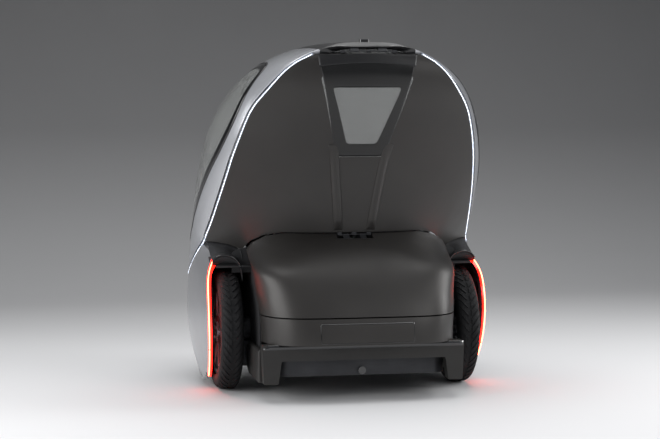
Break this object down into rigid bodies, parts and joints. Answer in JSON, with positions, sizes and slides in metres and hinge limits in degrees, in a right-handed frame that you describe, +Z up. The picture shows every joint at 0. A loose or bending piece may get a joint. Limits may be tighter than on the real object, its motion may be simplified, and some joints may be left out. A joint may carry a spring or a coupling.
{
  "type": "electric pod car",
  "caption": "Two-seat electric pod car on two side-by-side wheels, with a front canopy that lifts, a rear trunk lid and a dark rear shell edged with light strips.",
  "frame": {"origin": "on the ground, under the middle of the car's bounding box", "axes": "+Z up, nose towards -Y, +X is the car's left side; the rear faces +Y"},
  "size_m": [1.4324, 1.4997, 1.655],
  "materials": {
    "canopy_paint": "gloss",
    "fender_paint": "gloss",
    "shell_paint": "satin",
    "glass": "gloss",
    "white_light": "gloss",
    "red_light": "gloss",
    "chassis_metal": "satin",
    "dark_plastic": "matte",
    "tyre": "matte",
    "rubber": "matte",
    "rim": "satin",
    "steel": "satin",
    "seat_fabric": "matte"
  },
  "bodies": {
    "chassis": {"battery_pack": "dark_plastic", "canopy_hinge_pin": "steel", "chassis_deck": "chassis_metal", "dashboard": "dark_plastic", "fender_left": "fender_paint", "fender_right": "fender_paint", "floor_pan": "dark_plastic", "hub_mount_left": "chassis_metal", "hub_mount_right": "chassis_metal", "landing_leg_left": "chassis_metal", "landing_leg_right": "chassis_metal", "lid_hinge_pin": "steel", "nose_panel": "fender_paint", "number_panel": "shell_paint", "rear_bumper": "shell_paint", "rear_cover": "dark_plastic", "rear_sensor": "dark_plastic", "rear_shell": "shell_paint", "rear_window": "glass", "seat_back_left": "seat_fabric", "seat_back_right": "seat_fabric", "seat_cushion_left": "seat_fabric", "seat_cushion_right": "seat_fabric", "seat_frame": "dark_plastic", "side_light_left": "white_light", "side_light_right": "white_light", "steering_handle": "dark_plastic", "tail_light_left": "red_light", "tail_light_right": "red_light", "trunk_box": "dark_plastic", "wheel_well_left": "dark_plastic", "wheel_well_right": "dark_plastic"},
    "canopy": {"canopy_frame": "canopy_paint", "windscreen": "glass", "side_window_left": "glass", "side_window_right": "glass", "canopy_hinge": "steel", "roof_sensor": "dark_plastic"},
    "rear_lid_panel": {"rear_lid": "shell_paint", "lid_hinge": "steel"},
    "wheel_left": {"tyre_left": "tyre", "wheel_rim_left": "rim"},
    "caster_left": {"caster_fork_left": "chassis_metal"},
    "caster_roller_left": {"caster_wheel_left": "rubber"},
    "wheel_right": {"tyre_right": "tyre", "wheel_rim_right": "rim"},
    "caster_right": {"caster_fork_right": "chassis_metal"},
    "caster_roller_right": {"caster_wheel_right": "rubber"}
  },
  "joints": [
    {"name": "canopy_open", "type": "hinge", "parent": "chassis", "child": "canopy", "pos_m": [0, 0.737, 1.602], "axis": [-1, 0, 0], "range_deg": [0, 60]},
    {"name": "lid_open", "type": "hinge", "parent": "chassis", "child": "rear_lid_panel", "pos_m": [0, 0.44, 0.75], "axis": [1, 0, 0], "range_deg": [0, 65]},
    {"name": "wheel_left_spin", "type": "hinge", "parent": "chassis", "child": "wheel_left", "pos_m": [0.569, 0.15, 0.2825], "axis": [1, 0, 0], "continuous": true},
    {"name": "caster_left_swivel", "type": "hinge", "parent": "chassis", "child": "caster_left", "pos_m": [0.3, -0.47, 0.095], "axis": [0, 0, 1], "continuous": true},
    {"name": "caster_left_roll", "type": "hinge", "parent": "caster_left", "child": "caster_roller_left", "pos_m": [0.3, -0.444, 0.038], "axis": [1, 0, 0], "continuous": true},
    {"name": "wheel_right_spin", "type": "hinge", "parent": "chassis", "child": "wheel_right", "pos_m": [-0.569, 0.15, 0.2825], "axis": [1, 0, 0], "continuous": true},
    {"name": "caster_right_swivel", "type": "hinge", "parent": "chassis", "child": "caster_right", "pos_m": [-0.3, -0.47, 0.095], "axis": [0, 0, 1], "continuous": true},
    {"name": "caster_right_roll", "type": "hinge", "parent": "caster_right", "child": "caster_roller_right", "pos_m": [-0.3, -0.444, 0.038], "axis": [1, 0, 0], "continuous": true}
  ]
}
